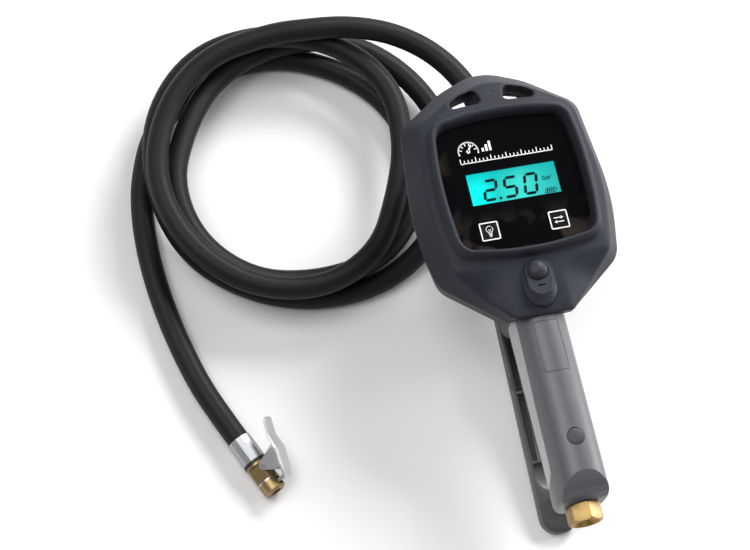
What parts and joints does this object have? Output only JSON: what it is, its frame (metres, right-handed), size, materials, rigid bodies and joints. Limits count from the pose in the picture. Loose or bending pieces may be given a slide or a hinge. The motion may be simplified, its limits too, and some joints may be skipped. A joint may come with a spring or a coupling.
{
  "type": "tyre inflator with gauge",
  "caption": "Hand-held tyre inflator: backlit digital gauge in a rubber boot, straight handle with trigger lever, rubber hose and clip-on valve connector.",
  "frame": {"origin": "under the middle of the tool (without its hose and connector), on the surface it lies on", "axes": "+Y along the tool from the inlet nut to the top of the gauge head, +Z out of the display, +X to the display's right"},
  "size_m": [0.2908, 0.3774, 0.1155],
  "materials": {
    "boot_rubber": "matte",
    "pad_rubber": "matte",
    "handle_plastic": "satin",
    "rear_plastic": "satin",
    "lever_plastic": "matte",
    "gloss_panel": "gloss",
    "key_face": "gloss",
    "clear_window": "polished",
    "lcd": "glowing",
    "case_plastic": "matte",
    "board": "satin",
    "cell": "satin",
    "zinc": "satin",
    "brass": "machined",
    "aluminium": "satin",
    "steel": "satin",
    "seal_rubber": "matte",
    "hose_rubber": "satin"
  },
  "bodies": {
    "root": {"boot": "boot_rubber", "bleed_pad": "pad_rubber", "bleed_spring": "steel", "bleed_cartridge": "brass", "case_front": "case_plastic", "case_rear": "case_plastic", "case_screws": "steel", "fascia": "gloss_panel", "display_window": "clear_window", "display_panel": "lcd", "display_backlight": "case_plastic", "display_frame": "case_plastic", "key_switches": "case_plastic", "circuit_board": "board", "pressure_sensor": "steel", "sensor_tube": "seal_rubber", "battery_holder": "case_plastic", "batteries": "cell", "battery_cover": "case_plastic", "handle_front": "handle_plastic", "handle_rear": "rear_plastic", "handle_plug": "handle_plastic", "handle_screws": "steel", "valve_body": "zinc", "plunger_seal": "seal_rubber", "valve_spring": "steel", "valve_gland": "brass", "inlet_adaptor": "brass", "inlet_filter": "steel", "outlet_fitting": "brass", "head_ferrule": "aluminium", "lever_pin": "steel", "hose_lead": "hose_rubber", "hose_coil": "hose_rubber", "hose_tail": "hose_rubber", "connector_ferrule": "aluminium", "connector_ring": "seal_rubber", "connector_body": "brass", "connector_seal": "seal_rubber", "valve_depressor": "brass", "retaining_clip": "steel", "clip_pin": "steel"},
    "trigger": {"trigger_lever": "lever_plastic"},
    "plunger": {"valve_plunger": "steel"},
    "light_key": {"light_key": "key_face"},
    "unit_key": {"unit_key": "key_face"},
    "bleed_button": {"bleed_button": "pad_rubber"},
    "inlet_nut": {"inlet_nut": "brass"},
    "clip": {"clip_lever": "steel", "clip_spring": "steel"}
  },
  "joints": [
    {"name": "trigger_hinge", "type": "hinge", "parent": "root", "child": "trigger", "pos_m": [0, 0.024, 0.03049], "axis": [-1, 0, 0], "range_deg": [0, 14], "stiffness_Nm_per_rad": 2, "springref_deg": -28.65},
    {"name": "plunger_slide", "type": "slide", "parent": "root", "child": "plunger", "axis": [0, 0, 1], "range_m": [0, 0.0056], "deforming": ["valve_spring"]},
    {"name": "light_key_press", "type": "slide", "parent": "root", "child": "light_key", "axis": [0, 0, -1], "range_m": [0, 0.0004], "stiffness_N_per_m": 1500, "springref_m": -0.0005},
    {"name": "unit_key_press", "type": "slide", "parent": "root", "child": "unit_key", "axis": [0, 0, -1], "range_m": [0, 0.0004], "stiffness_N_per_m": 1500, "springref_m": -0.0005},
    {"name": "bleed_press", "type": "slide", "parent": "root", "child": "bleed_button", "axis": [0, 0, -1], "range_m": [0, 0.0016], "stiffness_N_per_m": 900, "springref_m": -0.002, "deforming": ["bleed_spring"]},
    {"name": "inlet_swivel", "type": "hinge", "parent": "root", "child": "inlet_nut", "pos_m": [0, -0.142, 0.071], "axis": [0, 1, 0], "continuous": true},
    {"name": "clip_hinge", "type": "hinge", "parent": "root", "child": "clip", "pos_m": [-0.17454, -0.05826, 0.01182], "axis": [-0.5645, -0.2456, 0.788], "range_deg": [0, 14], "stiffness_Nm_per_rad": 0.3, "springref_deg": -22.92}
  ],
  "couplings": [
    {"joint": "plunger_slide", "follows": "trigger_hinge", "m_per_rad": 0.0225}
  ]
}
